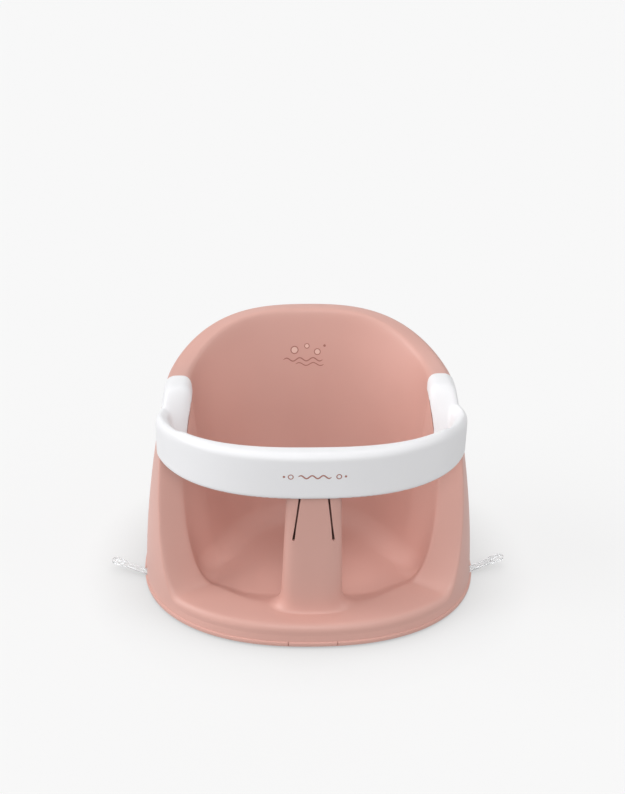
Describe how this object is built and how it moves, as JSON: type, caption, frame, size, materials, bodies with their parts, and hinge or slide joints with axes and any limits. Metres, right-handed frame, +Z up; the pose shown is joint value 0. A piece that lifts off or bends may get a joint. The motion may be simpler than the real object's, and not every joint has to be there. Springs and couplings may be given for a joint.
{
  "type": "baby bath seat",
  "caption": "Moulded bath seat for a baby: high curved backrest, low front sill, crotch post, white safety bar across the front and suction cups underneath",
  "frame": {"origin": "middle of the footprint, on the plane of the bath floor that the cups stand on", "axes": "+X to the seat's left-hand side as seen by a viewer in front (viewer's right), -Y to the front where the bar and post are, +Z up"},
  "size_m": [0.4112, 0.299, 0.242],
  "materials": {
    "shell_plastic": "fine satin moulding, dusty pink",
    "bar_plastic": "fine satin moulding, white",
    "clear_rubber": "soft, glossy and half clear"
  },
  "bodies": {
    "root": {"seat_shell": "shell_plastic", "safety_bar": "bar_plastic", "suction_cup_front_left": "clear_rubber", "suction_cup_front_right": "clear_rubber", "suction_cup_rear_left": "clear_rubber", "suction_cup_rear_right": "clear_rubber"}
  },
  "joints": []
}
